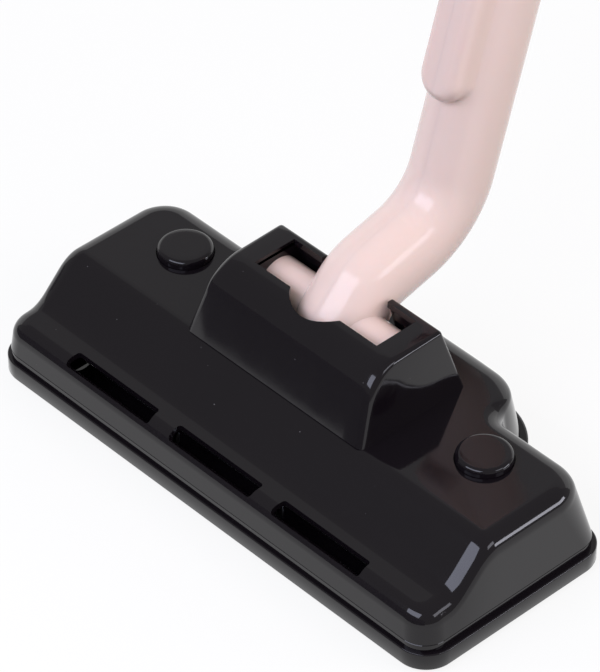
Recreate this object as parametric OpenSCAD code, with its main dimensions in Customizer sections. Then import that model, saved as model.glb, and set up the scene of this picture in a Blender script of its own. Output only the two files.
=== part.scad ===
// Toy vacuum cleaner: the floor head and the lower length of its wand.
// X runs along the head, Y to the rear and Z up. The wheels stand on z = 0.

/* [Head outline] */
// Length of the head over its flange
head_len = 210; // [190:1:240]
// Depth of the long bar over its flange
bar_depth = 84; // [80:1:100]
// Corner radius of the bar's flange
bar_corner_r = 11; // [8:0.5:14]
// Width of the stem behind the bar, over its flange
stem_w = 119; // [110:1:130]
// How far the stem's flange stands behind the bar's
stem_reach = 24; // [20:1:30]
// Corner radius of the stem's flange
stem_corner_r = 28; // [22:0.5:30]
// Radius of the hollow corner between the stem and the bar
hollow_r = 4; // [2:0.1:6]
// Radius of the same corner at the crown of the cover
crown_hollow_r = 8; // [4:0.1:9]

/* [Base] */
// Height of the flange
flange_h = 6.8; // [5.6:0.1:8]
// Height of the rim that the cover sits on
rim_h = 3; // [2:0.1:5]
// Thickness of the base's floor
floor_t = 2.4; // [1.8:0.1:3]
// Gap between the floor and the ground
ground_gap = 2; // [1:0.1:4]

/* [Cover] */
// Height of the plateau above the foot of the flange
plateau_h = 37; // [34:0.5:42]
// Height of the low front shelf at its front edge
shelf_h = 21.3; // [18:0.1:24]
// Rise of the shelf from front to back
shelf_rise = 1.3; // [0:0.1:2.5]
// Depth of the shelf, from the front wall to the foot of the slope
shelf_depth = 15; // [13:0.5:18]
// Depth of the slope between the shelf and the plateau
slope_run = 14; // [11:0.5:17]
// Half length of the curve at the foot and the crest of the slope
slope_blend = 4; // [1:0.1:5]
// Wall of the cover
cover_wall = 2.2; // [1.6:0.1:2.8]
// Rounding of the cover's top edge along the front
front_edge_r = 3; // [2.8:0.1:4]
// Rounding of the cover's top edges at the ends
end_edge_r = 4.2; // [3:0.1:5]
// Rounding of the cover's top edges at the rear
rear_edge_r = 7.6; // [4:0.1:8]
// Inset of the cover's front wall behind the flange
front_lip = 1.2; // [0.8:0.1:2]
// Inset of the cover's end walls
end_lip = 1.8; // [1:0.1:3]
// Inset of the bar's rear wall
rear_lip = 1.8; // [1:0.1:3]
// Inset of the stem's rear wall
stem_lip = 3.2; // [2:0.1:4]
// Lean of the front wall over its height
front_draft = 0.4; // [0:0.1:1]
// Lean of the end walls over their height
end_draft = 0.9; // [0:0.1:2]
// Lean of the bar's rear wall over its height
rear_draft = 4.8; // [2:0.1:6]
// Lean of the stem's rear wall over its height
stem_draft = 10.4; // [6:0.1:11]
// Corner radius of the bar's rear corners at the plateau
crown_corner_r = 14; // [10:0.5:16]
// Corner radius of the stem at the plateau
crown_stem_r = 16; // [13:0.5:18]

/* [Front slots] */
// Length of each slot
slot_len = 40.5; // [30:0.5:44]
// Width of each slot
slot_w = 6.2; // [4.5:0.1:8]
// Distance between slot centres
slot_pitch = 50.4; // [48:0.1:56]
// Distance from the front wall to the slots
slot_setback = 1.4; // [1:0.1:5]

/* [Pivot housing] */
// Width of the housing at its foot
housing_w = 84.8; // [80:0.2:92]
// Height of the housing above the plateau
housing_h = 25.2; // [24:0.1:30]
// Lean of each end of the housing over its height
housing_draft = 4.1; // [0:0.1:5]
// Wall of the housing
housing_wall = 2.4; // [2:0.1:2.8]
// Distance from the crest of the slope to the housing's front foot
housing_setback = 0.9; // [0.8:0.1:4]
// Radius of the housing's rounded nose
nose_r = 15; // [12:0.5:17]
// Distance from the housing's front foot to the centre of its nose
nose_back = 19.7; // [17:0.1:22]
// Depth of the housing's flat top, from the nose to the rear edge
housing_top = 20.2; // [18:0.1:24]
// Lean of the housing's rear wall over its height
housing_rear_draft = 7; // [4:0.1:9]
// Width of each closed end of the housing, from the pocket to the foot of the outer face
housing_end_w = 13.4; // [12.4:0.2:15.4]
// Radius of the round notch in the pocket's front edge
notch_r = 14; // [12:0.5:16]
// How far the notch reaches in front of the pocket's edge
notch_reach = 6.4; // [3:0.1:8]

/* [Wand] */
// Outer diameter of the wand
tube_d = 28.4; // [26:0.1:29]
// Wall of the wand's two halves
tube_wall = 2.4; // [1.8:0.1:3]
// Height of the tilt axis above the plateau
axis_rise = 11.8; // [11.4:0.1:13]
// Distance of the tilt axis behind the centre of the nose
axis_back = 10.3; // [9.5:0.1:11]
// Diameter of the trunnions
trunnion_d = 18; // [14:0.1:19]
// Angle of the neck above the floor, where the wand leaves the tilt axis
neck_angle = 46.5; // [42:0.5:52]
// Length of the neck, from the tilt axis to its bend
neck_len = 16; // [14:0.5:18]
// Angle of the lower length above the floor
lower_angle = 14.2; // [10:0.2:20]
// Length of the lower length, between the corners of its bends
lower_len = 36.4; // [34:0.2:44]
// Angle of the upper length above the floor
upper_angle = 72.8; // [66:0.2:80]
// Length of the upper length, from the corner of its bend
upper_len = 118; // [100:1:160]
// Bend radius at the neck
neck_bend_r = 16; // [15:0.5:20]
// Bend radius at the elbow
elbow_r = 30; // [24:0.5:34]

/* [Wand pad] */
// Width of the raised pad on the wand's front
pad_w = 18; // [14:0.5:22]
// How far the pad stands in front of the wand
pad_rise = 6.2; // [4:0.1:8]
// Rounding of the pad's long edges
pad_edge_r = 5; // [2:0.1:6]
// Distance from the elbow's end to the pad
pad_start = 28; // [18:0.5:40]
// Distance from the pad to the wand's upper end
pad_stop = 12; // [6:0.5:24]

/* [Wand socket] */
// Bore of the socket that takes the next length of wand
socket_bore_d = 19; // [14:0.1:20]
// Depth of the socket
socket_depth = 30; // [20:0.5:36]
// Thickness of the stop ring at the socket's foot
socket_stop = 3; // [2:0.1:5]

/* [Buttons] */
// Diameter of the round foot buttons
button_d = 19.7; // [16:0.1:21]
// Height of the buttons above the plateau
button_rise = 3; // [2.4:0.1:4]
// Distance from each end of the head to the middle of the button
button_inset = 33.2; // [29:0.2:37]
// Distance of the buttons behind the middle of the bar
button_y = 16.2; // [14:0.2:18]
// Travel of the buttons
button_travel = 1.5; // [0.5:0.1:2]
// Wire of the button springs
spring_wire = 0.9; // [0.6:0.05:1]
// Turns of the button springs
spring_turns = 6; // [4:1:8]

/* [Wheels] */
// Diameter of the wheels
wheel_d = 16; // [14:0.5:18]
// Width of the wheels
wheel_w = 6; // [4:0.5:8]
// Diameter of the axles
axle_d = 3; // [2:0.1:4]
// Distance from each end of the head to the middle of the front wheel
front_wheel_inset = 21; // [17:0.5:27]
// Distance of the front axle ahead of the middle of the bar
front_axle_y = 21; // [18:0.5:23]
// Distance from each side of the stem to the middle of the rear wheel
rear_wheel_inset = 25.5; // [21.5:0.5:29.5]
// Distance of the rear axle behind the middle of the bar
rear_axle_y = 46; // [42:0.5:48]

/* [Fasteners] */
// Shank diameter of the base and housing screws
screw_d = 2.4; // [2:0.1:2.8]
// Head diameter of the base and housing screws
screw_head_d = 5.6; // [5:0.1:6]
// Head height of the base and housing screws
screw_head_h = 2; // [1.4:0.1:2.4]
// Shank diameter of the wand screws
wand_screw_d = 2; // [1.6:0.1:2.4]
// Head diameter of the wand screws
wand_screw_head_d = 4.8; // [4.2:0.1:5.2]

/* [Hidden] */
$fn = 48;

// Clearances: running fits, sliding fits and pieces that lie side by side
run_gap = 0.05;
slide_gap = 0.2;
seat_gap = 0.1;
// Overrun of every cut past the face that it opens
overrun = 1;
// Steps of each rounded corner of the outlines
arc_n = 6;
// Steps of the wand's half rings, rounded end and bends
half_n = 15;
dome_n = 6;
neck_n = 4;
elbow_n = 7;
// Part of the skin by which the inside's flat top draws back from the outside's
skin_share = 0.2;

black = "#2b272b";
pink = "#ead8d2";
steel = "#b9bcc0";

function lerp(a, b, t) = a + (b - a) * t;

// Outlines: half length, front y, rear y, front radius, rear radius,
// stem half width, stem rear y, stem radius and the radius of the hollow corner beside the stem
function inset(o, d) =
    [o[0] - d, o[1] + d, o[2] - d, o[3] - d, o[4] - d, o[5] - d, o[6] - d, o[7] - d, o[8] + d];

bar_half = bar_depth / 2;
stem_rear_y = bar_half + stem_reach;
flange_line = [head_len / 2, -bar_half, bar_half, bar_corner_r, bar_corner_r,
    stem_w / 2, stem_rear_y, stem_corner_r, hollow_r];
cover_foot = [head_len / 2 - end_lip, -bar_half + front_lip, bar_half - rear_lip,
    bar_corner_r - end_lip, bar_corner_r - end_lip,
    stem_w / 2 - end_lip, stem_rear_y - stem_lip, stem_corner_r - end_lip, hollow_r + end_lip];
cover_crown = [cover_foot[0] - end_draft, cover_foot[1] + front_draft, cover_foot[2] - rear_draft,
    bar_corner_r - end_lip, crown_corner_r,
    cover_foot[5] - front_draft, cover_foot[6] - stem_draft, crown_stem_r, crown_hollow_r];
cover_top = [cover_crown[0] - end_edge_r, cover_crown[1] + front_edge_r, cover_crown[2] - rear_edge_r,
    cover_crown[3] - front_edge_r, crown_corner_r - end_edge_r,
    cover_crown[5] - front_edge_r, cover_crown[6] - rear_edge_r, crown_stem_r - end_edge_r,
    crown_hollow_r + front_edge_r / 2];

// Heights above the foot of the flange
seat_z = flange_h + rim_h;
front_y = cover_crown[1];
foot_y = front_y + shelf_depth;
crest_y = foot_y + slope_run;
foot_z = shelf_h + shelf_rise;
shelf_grade = shelf_rise / shelf_depth;
slope_grade = (plateau_h - foot_z) / slope_run;
slope_lean = atan(slope_grade);

// The slope's foot and crest are parabolas over twice the blend's length
blend_shares = [-1, -0.5, 0, 0.5, 1];
function curve_z(g1, g2, s) = g1 * s * slope_blend + (g2 - g1) * slope_blend * pow(s + 1, 2) / 4;
top_rows = concat(
    [for (s = blend_shares) [foot_y + s * slope_blend, foot_z + curve_z(shelf_grade, slope_grade, s)]],
    [for (s = blend_shares) [crest_y + s * slope_blend, plateau_h + curve_z(slope_grade, 0, s)]],
    [[0, plateau_h]]
);
top_profile = concat([[front_y, shelf_h]], top_rows, [[stem_rear_y, plateau_h]]);
function top_z(y) = lookup(y, top_profile);

// Columns of an outline from its middle to its right end, as pairs of a front and a rear point
function column_pairs(o) =
    let (r = o[7], h = o[8], x = o[5] - r, y = o[6] - r)
    let (turn = acos((o[2] + h - y) / (r + h)), far = x + (r + h) * sin(turn))
    let (rear = concat(
        [[0, o[6]]],
        [for (k = [0:arc_n]) let (a = turn * k / arc_n) [x + r * sin(a), y + r * cos(a)]],
        [for (k = [1:arc_n]) let (a = turn * (1 - k / arc_n)) [far - h * sin(a), o[2] + h * (1 - cos(a))]]
    ))
    let (corner = [for (k = [0:arc_n]) [
        [o[0] - o[3] + o[3] * sin(90 * k / arc_n), o[1] + o[3] * (1 - cos(90 * k / arc_n))],
        [o[0] - o[4] + o[4] * sin(90 * k / arc_n), o[2] - o[4] * (1 - cos(90 * k / arc_n))]
    ]])
    concat([for (p = rear) [[p[0], o[1]], p]], corner);
function flip(p) = [-p[0], p[1]];
function columns(o) =
    let (right = column_pairs(o), n = len(right))
    concat([for (k = [n - 1:-1:1]) [flip(right[k][0]), flip(right[k][1])]], right);
col_n = len(columns(flange_line)) - 1;
row_n = len(top_rows) + 1;
ring_n = 2 * col_n + 2 * row_n;

// Place of a column and row in plan; the rows between the edges keep their own y
function plan(cols, i, j, shift) =
    let (f = cols[i][0], b = cols[i][1])
    let (y = j == 0 ? f[1] : j == row_n ? b[1] : top_rows[j - 1][0] + shift)
    [lerp(f[0], b[0], (y - f[1]) / (b[1] - f[1])), y];
function edge_ij(q) =
    q <= col_n ? [q, 0] :
    q <= col_n + row_n ? [col_n, q - col_n] :
    q <= 2 * col_n + row_n ? [2 * col_n + row_n - q, row_n] :
    [0, ring_n - q];
function edge_q(i, j) =
    j == 0 ? i : i == col_n ? col_n + j : j == row_n ? 2 * col_n + row_n - i : ring_n - j;
function ring(o, shift = 0) =
    let (cols = columns(o))
    [for (q = [0:ring_n - 1]) let (e = edge_ij(q)) plan(cols, e[0], e[1], shift)];

function strip(k, n) = [for (q = [0:n - 1]) let (a = k * n + q, b = k * n + (q + 1) % n)
    each [[a, a + n, b], [b, a + n, b + n]]];

// The head's outer surface, or with a skin its inner one: leaning walls, rounded edges and stepped top.
// Each rounding starts at its wall's own lean and ends level with the top.
round_shares = [0, 1/3, 2/3, 1];
rim_base = len(round_shares) * ring_n;
grid_base = rim_base + ring_n;
surface_n = grid_base + (col_n - 1) * (row_n - 1);
function surface_points(skin) =
    let (shift = skin * tan(slope_lean / 2), top = inset(cover_top, skin * skin_share))
    let (foot = ring(inset(cover_foot, skin), shift), crown = ring(inset(cover_crown, skin), shift))
    let (top_cols = columns(top), top_ring = ring(top, shift))
    let (high = [for (p = top_ring) top_z(p[1] - shift) - skin])
    let (reach = [for (q = [0:ring_n - 1]) norm(crown[q] - top_ring[q])])
    let (lean = [for (q = [0:ring_n - 1]) atan2(norm(foot[q] - crown[q]), high[q] - seat_z - reach[q])])
    concat(
        [for (p = foot) [p[0], p[1], seat_z]],
        [for (s = round_shares) each [for (q = [0:ring_n - 1])
            let (a = lerp(lean[q], 90, s), p = lerp(top_ring[q], crown[q], cos(a) / cos(lean[q])))
            [p[0], p[1], high[q] - reach[q] / cos(lean[q]) * (1 - sin(a))]]],
        [for (i = [1:col_n - 1]) each [for (j = [1:row_n - 1])
            let (p = plan(top_cols, i, j, shift)) [p[0], p[1], top_z(p[1] - shift) - skin]]]
    );
function grid_at(i, j) = i == 0 || i == col_n || j == 0 || j == row_n ?
    rim_base + edge_q(i, j) : grid_base + (i - 1) * (row_n - 1) + j - 1;
surface_faces = concat(
    [for (k = [0:len(round_shares) - 1]) each strip(k, ring_n)],
    [for (i = [0:col_n - 1]) each [for (j = [0:row_n - 1]) each [
        [grid_at(i, j), grid_at(i, j + 1), grid_at(i + 1, j)],
        [grid_at(i + 1, j), grid_at(i, j + 1), grid_at(i + 1, j + 1)]]]]
);
module cover_shell() polyhedron(
    concat(surface_points(0), surface_points(cover_wall)),
    concat(
        surface_faces,
        [for (f = surface_faces) [f[0] + surface_n, f[2] + surface_n, f[1] + surface_n]],
        [for (q = [0:ring_n - 1]) let (w = (q + 1) % ring_n)
            each [[q, w, q + surface_n], [w, w + surface_n, q + surface_n]]]
    )
);

// Places in the head
tube_r = tube_d / 2;
trunnion_r = trunnion_d / 2;
housing_front_y = crest_y + housing_setback;
nose_y = housing_front_y + nose_back;
housing_top_z = plateau_h + housing_h;
nose_z = housing_top_z - nose_r;
housing_rear_y = nose_y + housing_top;
housing_back_y = housing_rear_y + housing_rear_draft;
tilt_y = nose_y + axis_back;
tilt_z = plateau_h + axis_rise;
rib_inner_x = housing_w / 2 - housing_end_w;
rib_t = 7;
rib_x = rib_inner_x + rib_t / 2;
rib_outer_x = rib_inner_x + rib_t;

// Corners of the wand's path and the ends of its bends, in the plane x = 0
function toward(angle) = [cos(angle), sin(angle)];
tilt_point = [tilt_y, tilt_z];
neck_corner = tilt_point + neck_len * toward(neck_angle);
elbow_corner = neck_corner + lower_len * toward(lower_angle);
neck_turn = neck_angle - lower_angle;
elbow_turn = upper_angle - lower_angle;
neck_trim = neck_bend_r * tan(neck_turn / 2);
elbow_trim = elbow_r * tan(elbow_turn / 2);
upper_start = elbow_corner + elbow_trim * toward(upper_angle);
upper_run = upper_len - elbow_trim;
wand_end = upper_start + upper_run * toward(upper_angle);

// The frame's origin lies on the ground under the middle of the whole part
frame_y = (wand_end[0] + tube_r * sin(upper_angle) - bar_half) / 2;
module in_frame() translate([0, -frame_y, ground_gap]) children();

module mirror_pair() {
    children();
    mirror([1, 0, 0]) children();
}
module side_view(x0, x1) translate([x0, 0, 0]) rotate([90, 0, 90]) linear_extrude(x1 - x0) children();
module rod(r, z0, z1) translate([0, 0, z0]) cylinder(r = r, h = z1 - z0);
module rod_x(r, x0, x1) translate([x0, 0, 0]) rotate([0, 90, 0]) cylinder(r = r, h = x1 - x0);
module block(x0, x1, y0, y1, z0, z1) translate([x0, y0, z0]) cube([x1 - x0, y1 - y0, z1 - z0]);

// Places of the buttons and wheels, from the ends of the head and the sides of the stem
button_x = head_len / 2 - button_inset;
front_wheel_x = head_len / 2 - front_wheel_inset;
rear_wheel_x = stem_w / 2 - rear_wheel_inset;

// Screws that close the head: through the base's sunk bosses into the cover's posts
screw_r = screw_d / 2;
screw_head_r = screw_head_d / 2;
screw_sink = 1.3;
post_r = 4;
base_post_z = screw_sink + screw_head_h + floor_t;
base_screw_reach = 9;
land_x = slot_pitch / 2;
front_post_y = front_y + shelf_depth - post_r - cover_wall / 2;
rear_post_x = stem_w / 2 - post_r - rear_edge_r;
rear_post_y = bar_half - rear_lip - post_r;
base_screw_places = [[button_x, button_y - button_d / 2 - 2 * post_r],
    [land_x, front_post_y], [rear_post_x, rear_post_y]];

// Screws that hold the housing on the cover
housing_post_x = notch_r + post_r;
housing_post_y = housing_front_y + housing_wall + post_r + housing_draft / 2;
housing_post_h = 11;
saddle_foot_y = tilt_y - trunnion_r - 2 * screw_head_r;
housing_screw_reach = 8;
under_plateau = plateau_h - cover_wall;

// Hooks at the housing's rear foot
hook_w = 6;
hook_t = 1.8;
hook_lip = 1.2;
hook_x = rib_inner_x - hook_w / 2;
hook_y = housing_back_y - housing_wall - hook_t / 2;
hook_drop = 1.5;

// Buttons and their springs
button_r = button_d / 2;
button_rim = 2;
button_rim_t = 1.4;
button_edge = 1.6;
button_peg_r = 3.6;
button_peg_drop = 9;
button_rim_z = under_plateau - slide_gap;
button_seat_z = button_rim_z - button_rim_t;
tower_r = 7.5;
tower_rise = 5;
tower_z = flange_h + rim_h + tower_rise;
tower_peg_h = 3;
spring_r = button_peg_r + spring_wire;
spring_h = button_seat_z - tower_z;
coil_steps = 12;
coil_sides = 6;

// Wheels, axles and the posts that carry them
wheel_r = wheel_d / 2;
axle_r = axle_d / 2;
axle_z = wheel_r - ground_gap;
wheel_gap = 1.2;
well_half = wheel_r + wheel_gap;
axle_post_w = 6;
axle_post_wall = 2.5;
axle_post_d = axle_d + 2 * axle_post_wall;
axle_post_rise = axle_d + 0.6 * axle_d;
keeper_t = 1.8;
front_post_x = front_wheel_x - wheel_w / 2 - wheel_gap - axle_post_w / 2 - screw_sink;
rear_axle_post_x = rear_wheel_x - wheel_w / 2 - wheel_gap - axle_post_w / 2 - screw_sink;
axle_over = 1;

// Gap between the wand and the gate in the housing's rear wall
gate_gap = 1.3;

// Wand fasteners, in the plane of the joint between the halves
wand_screw_r = wand_screw_d / 2;
wand_head_r = wand_screw_head_d / 2;
wand_head_h = 1.6;
wand_head_x = tube_r / 2;
wand_screw_reach = tube_r / 2;
wand_post_wall = 1.6;
wand_tap_wall = 2;
wand_post_r = wand_head_r + wand_post_wall;
wand_tap_r = wand_screw_r + wand_tap_wall;
wand_post_fill = tube_r - sqrt(pow(tube_r, 2) - pow(wand_post_r, 2));
upper_screw_shares = [0.14, 0.5];
wand_screw_places = concat(
    [neck_corner + lower_len / 2 * toward(lower_angle)],
    [for (s = upper_screw_shares) upper_start + s * upper_run * toward(upper_angle)]
);
trunnion_end_x = rib_outer_x;
trunnion_root_x = tube_r - 2 * tube_wall;
socket_r = socket_bore_d / 2;
socket_len = socket_depth + socket_stop;
socket_skin_r = (tube_r - tube_wall) * cos(90 / half_n) - run_gap;

module base_post_holes() for (p = base_screw_places) mirror_pair() translate([p[0], p[1], 0]) children();

module axle_posts(x, y) mirror_pair() translate([x, y, 0]) difference() {
    block(-axle_post_w / 2, axle_post_w / 2, -axle_post_d / 2, axle_post_d / 2,
        floor_t / 2, axle_z + axle_post_rise);
    translate([0, 0, axle_z]) rod_x(axle_r + run_gap, -axle_post_w, axle_post_w);
    block(-axle_post_w, axle_post_w, -axle_r - run_gap, axle_r + run_gap, axle_z, axle_z + 2 * axle_post_rise);
}

module wheel_well(x, y) mirror_pair() translate([x, y, 0])
    block(-wheel_w / 2 - wheel_gap, wheel_w / 2 + wheel_gap, -well_half, well_half, -overrun, floor_t + overrun);

module spring_tower() {
    rod(tower_r, floor_t / 2, tower_z);
    rod(button_peg_r, floor_t, tower_z + tower_peg_h);
}

module outline_wall(outer, inner, z0, z1) translate([0, 0, z0]) linear_extrude(z1 - z0) difference() {
    polygon(ring(outer));
    polygon(ring(inner));
}

module base_plate() color(black) in_frame() {
    inside = inset(cover_foot, cover_wall);
    lean = (cover_foot[6] - cover_crown[6]) / (plateau_h - (cover_crown[6] - cover_top[6]) - seat_z);
    lip = inset(inside, slide_gap + lean * rim_h);
    well = inset(lip, cover_wall);
    difference() {
        union() {
            linear_extrude(floor_t) polygon(ring(flange_line));
            outline_wall(flange_line, well, floor_t, flange_h);
            outline_wall(cover_foot, inside, flange_h, seat_z);
            outline_wall(lip, well, flange_h, seat_z + rim_h);
            base_post_holes() rod(post_r + slide_gap, floor_t / 2, base_post_z);
        }
        wheel_well(front_wheel_x, -front_axle_y);
        wheel_well(rear_wheel_x, rear_axle_y);
        base_post_holes() rod(screw_head_r + slide_gap, -overrun, screw_sink + screw_head_h);
        base_post_holes() rod(screw_r + slide_gap, -overrun, base_post_z + overrun);
    }
    axle_posts(front_post_x, -front_axle_y);
    axle_posts(rear_axle_post_x, rear_axle_y);
    mirror_pair() translate([button_x, button_y, 0]) spring_tower();
}

module cover_posts() for (p = base_screw_places) mirror_pair() translate([p[0], p[1], 0]) difference() {
    rod(post_r, base_post_z + seat_gap, top_z(p[1] - post_r) - cover_wall / 2);
    rod(screw_r + run_gap, 0, base_post_z + base_screw_reach);
}

module cover_slots() for (k = [-1:1]) translate([k * slot_pitch, 0, 0])
    block(-slot_len / 2, slot_len / 2, front_y + slot_setback, front_y + slot_setback + slot_w,
        shelf_h - 2 * cover_wall - overrun, plateau_h);

module knuckle_well() block(-tube_r, tube_r, tilt_y - tube_r, tilt_y + tube_r,
    under_plateau - overrun, plateau_h + overrun);

module hook_slots() mirror_pair()
    block(hook_x - hook_w / 2 - slide_gap, hook_x + hook_w / 2 + slide_gap,
        hook_y - slide_gap, hook_y + hook_t + slide_gap, under_plateau - overrun, plateau_h + overrun);

module housing_screw_places() mirror_pair() {
    translate([housing_post_x, housing_post_y, 0]) children();
    translate([rib_x, saddle_foot_y, 0]) children();
}

module head_cover() color(black) in_frame() {
    difference() {
        cover_shell();
        cover_slots();
        knuckle_well();
        hook_slots();
        mirror_pair() translate([button_x, button_y, 0])
            rod(button_r + slide_gap, under_plateau - overrun, plateau_h + overrun);
        housing_screw_places() rod(screw_r + slide_gap, under_plateau - overrun, plateau_h + overrun);
    }
    cover_posts();
}

// Side view of the housing, or with a skin of its inside: a leaning front that rolls into
// the flat top, and a leaning rear wall
module housing_side(skin, foot_z) {
    front = housing_front_y + skin;
    r = nose_r - skin;
    reach = [nose_y - front, nose_z - plateau_h];
    far = norm(reach);
    lean = atan2(reach[1], reach[0]) + asin(r / far);
    rear_lean = housing_rear_draft / housing_h;
    top = housing_top_z - skin;
    polygon(concat(
        [[front - (plateau_h - foot_z) / tan(lean), foot_z]],
        [for (k = [0:2 * arc_n]) let (a = lerp(lean + 90, 90, k / (2 * arc_n))) [nose_y, nose_z] + r * toward(a)],
        [[housing_rear_y - skin + skin * rear_lean, top],
            [housing_back_y - skin + (plateau_h - foot_z) * rear_lean, foot_z]]
    ));
}
module housing_form(skin, foot_z) {
    foot = housing_w / 2 - skin;
    drop = plateau_h - foot_z;
    lean = housing_draft / housing_h;
    intersection() {
        side_view(-foot - drop, foot + drop) housing_side(skin, foot_z);
        translate([0, housing_back_y + head_len, 0]) rotate([90, 0, 0]) linear_extrude(2 * head_len) polygon([
            [-foot - drop * lean, foot_z], [foot + drop * lean, foot_z],
            [foot - housing_h * lean, housing_top_z], [-foot + housing_h * lean, housing_top_z]
        ]);
    }
}

module housing_hooks() mirror_pair() {
    block(hook_x - hook_w / 2, hook_x + hook_w / 2, hook_y, hook_y + hook_t,
        under_plateau - seat_gap - hook_drop, plateau_h + 2 * hook_t);
    block(hook_x - hook_w / 2, hook_x + hook_w / 2, hook_y, hook_y + hook_t + hook_lip,
        under_plateau - seat_gap - hook_drop, under_plateau - seat_gap);
}

// Bearing ribs: the upper half of each trunnion's bearing
module housing_ribs() mirror_pair() intersection() {
    housing_form(housing_wall / 2, plateau_h);
    block(rib_inner_x, rib_outer_x, -head_len, head_len, tilt_z, housing_top_z);
}

module rear_gate() {
    gate_r = tube_r + gate_gap;
    gate_z = plateau_h + gate_r - gate_gap;
    translate([0, housing_back_y + overrun, gate_z]) rotate([90, 0, 0])
        cylinder(r = gate_r, h = housing_back_y + overrun - tilt_y);
    block(-gate_r, gate_r, tilt_y, housing_back_y + overrun, gate_z, housing_top_z + overrun);
}

module pivot_housing() color(black) in_frame() {
    pocket_front = nose_y - slide_gap;
    difference() {
        union() {
            difference() {
                housing_form(0, plateau_h);
                housing_form(housing_wall, plateau_h - overrun);
            }
            housing_ribs();
            mirror_pair() translate([housing_post_x, housing_post_y, 0])
                intersection() {
                    rod(post_r, plateau_h, plateau_h + housing_post_h);
                    translate([-housing_post_x, -housing_post_y, 0]) housing_form(housing_wall / 2, plateau_h);
                }
            housing_hooks();
        }
        block(-rib_inner_x, rib_inner_x, pocket_front, housing_rear_y - housing_wall, tilt_z,
            housing_top_z + overrun);
        translate([0, pocket_front - notch_reach + notch_r, 0])
            rod(notch_r, tilt_z, housing_top_z + overrun);
        rear_gate();
        translate([0, tilt_y, tilt_z]) rod_x(trunnion_r + run_gap, -trunnion_end_x, trunnion_end_x);
        housing_screw_places() rod(screw_r + run_gap, 0, plateau_h + housing_screw_reach);
        mirror_pair() translate([rib_x, saddle_foot_y, 0])
            rod(screw_r + run_gap, 0, tilt_z + housing_screw_reach);
    }
}

// Saddle: the lower half of a trunnion's bearing, held down by one housing screw
module saddle(side) color(black) in_frame() scale([side, 1, 1]) difference() {
    block(rib_inner_x + seat_gap, rib_outer_x - seat_gap, saddle_foot_y - screw_head_r,
        tilt_y + trunnion_r + hook_t / 2, plateau_h, tilt_z);
    translate([0, tilt_y, tilt_z]) rod_x(trunnion_r + run_gap, rib_inner_x - overrun, rib_outer_x + overrun);
    translate([rib_x, saddle_foot_y, 0]) rod(screw_r + slide_gap, 0, tilt_z + overrun);
}
module left_trunnion_saddle() saddle(-1);
module right_trunnion_saddle() saddle(1);

module button(side) color(black) in_frame() translate([side * button_x, button_y, 0]) {
    top = plateau_h + button_rise;
    rotate_extrude() polygon(concat(
        [[0, button_seat_z], [button_r + button_rim, button_seat_z], [button_r + button_rim, button_rim_z],
            [button_r, button_rim_z]],
        [for (k = [0:arc_n]) let (a = 90 * k / arc_n)
            [button_r - button_edge * (1 - cos(a)), top - button_edge * (1 - sin(a))]],
        [[0, top]]
    ));
    rod(button_peg_r - slide_gap, button_seat_z - button_peg_drop, plateau_h);
}
module left_button() button(-1);
module right_button() button(1);

// Coil spring: one wire swept along a helix that flattens at both ends
function coil_rise(t) = let (u = min(max((t * spring_turns - 1) / (spring_turns - 2), 0), 1))
    lerp(spring_wire / 2 + t * spring_wire, spring_h - spring_wire / 2 - (1 - t) * spring_wire, u);
module spring(side) color(steel) in_frame() translate([side * button_x, button_y, tower_z]) {
    steps = coil_steps * spring_turns;
    wire_r = spring_wire / 2 - run_gap;
    points = [for (k = [0:steps]) let (t = k / steps, a = 360 * spring_turns * t) each
        [for (m = [0:coil_sides - 1]) let (b = -360 * m / coil_sides, d = spring_r + wire_r * cos(b))
            [d * cos(a), d * sin(a), coil_rise(t) + wire_r * sin(b)]]];
    polyhedron(points, concat(
        [for (k = [0:steps - 1]) each strip(k, coil_sides)],
        [[for (m = [0:coil_sides - 1]) m]],
        [[for (m = [coil_sides - 1:-1:0]) steps * coil_sides + m]]
    ));
}
module left_button_spring() spring(-1);
module right_button_spring() spring(1);

module axle(x, y) color(steel) in_frame() translate([0, y, axle_z])
    rod_x(axle_r, -x - wheel_w / 2 - axle_over, x + wheel_w / 2 + axle_over);
module wheel(x, y) color(black) in_frame() translate([x, y, axle_z]) rotate([0, 90, 0]) {
    tread = wheel_w / 6;
    hub_r = axle_r + tread;
    rotate_extrude() polygon([
        [axle_r + run_gap, -wheel_w / 2], [hub_r, -wheel_w / 2], [hub_r, -wheel_w / 2 + tread],
        [wheel_r - 2 * tread, -wheel_w / 2 + tread], [wheel_r - 2 * tread, -wheel_w / 2],
        [wheel_r - tread / 2, -wheel_w / 2], [wheel_r, -wheel_w / 2 + tread / 2],
        [wheel_r, wheel_w / 2 - tread / 2], [wheel_r - tread / 2, wheel_w / 2],
        [wheel_r - 2 * tread, wheel_w / 2], [wheel_r - 2 * tread, wheel_w / 2 - tread],
        [hub_r, wheel_w / 2 - tread], [hub_r, wheel_w / 2], [axle_r + run_gap, wheel_w / 2]
    ]);
}
module front_axle() axle(front_wheel_x, -front_axle_y);
module front_left_wheel() wheel(-front_wheel_x, -front_axle_y);
module front_right_wheel() wheel(front_wheel_x, -front_axle_y);
module rear_axle() axle(rear_wheel_x, rear_axle_y);
module rear_left_wheel() wheel(-rear_wheel_x, rear_axle_y);
module rear_right_wheel() wheel(rear_wheel_x, rear_axle_y);

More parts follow.
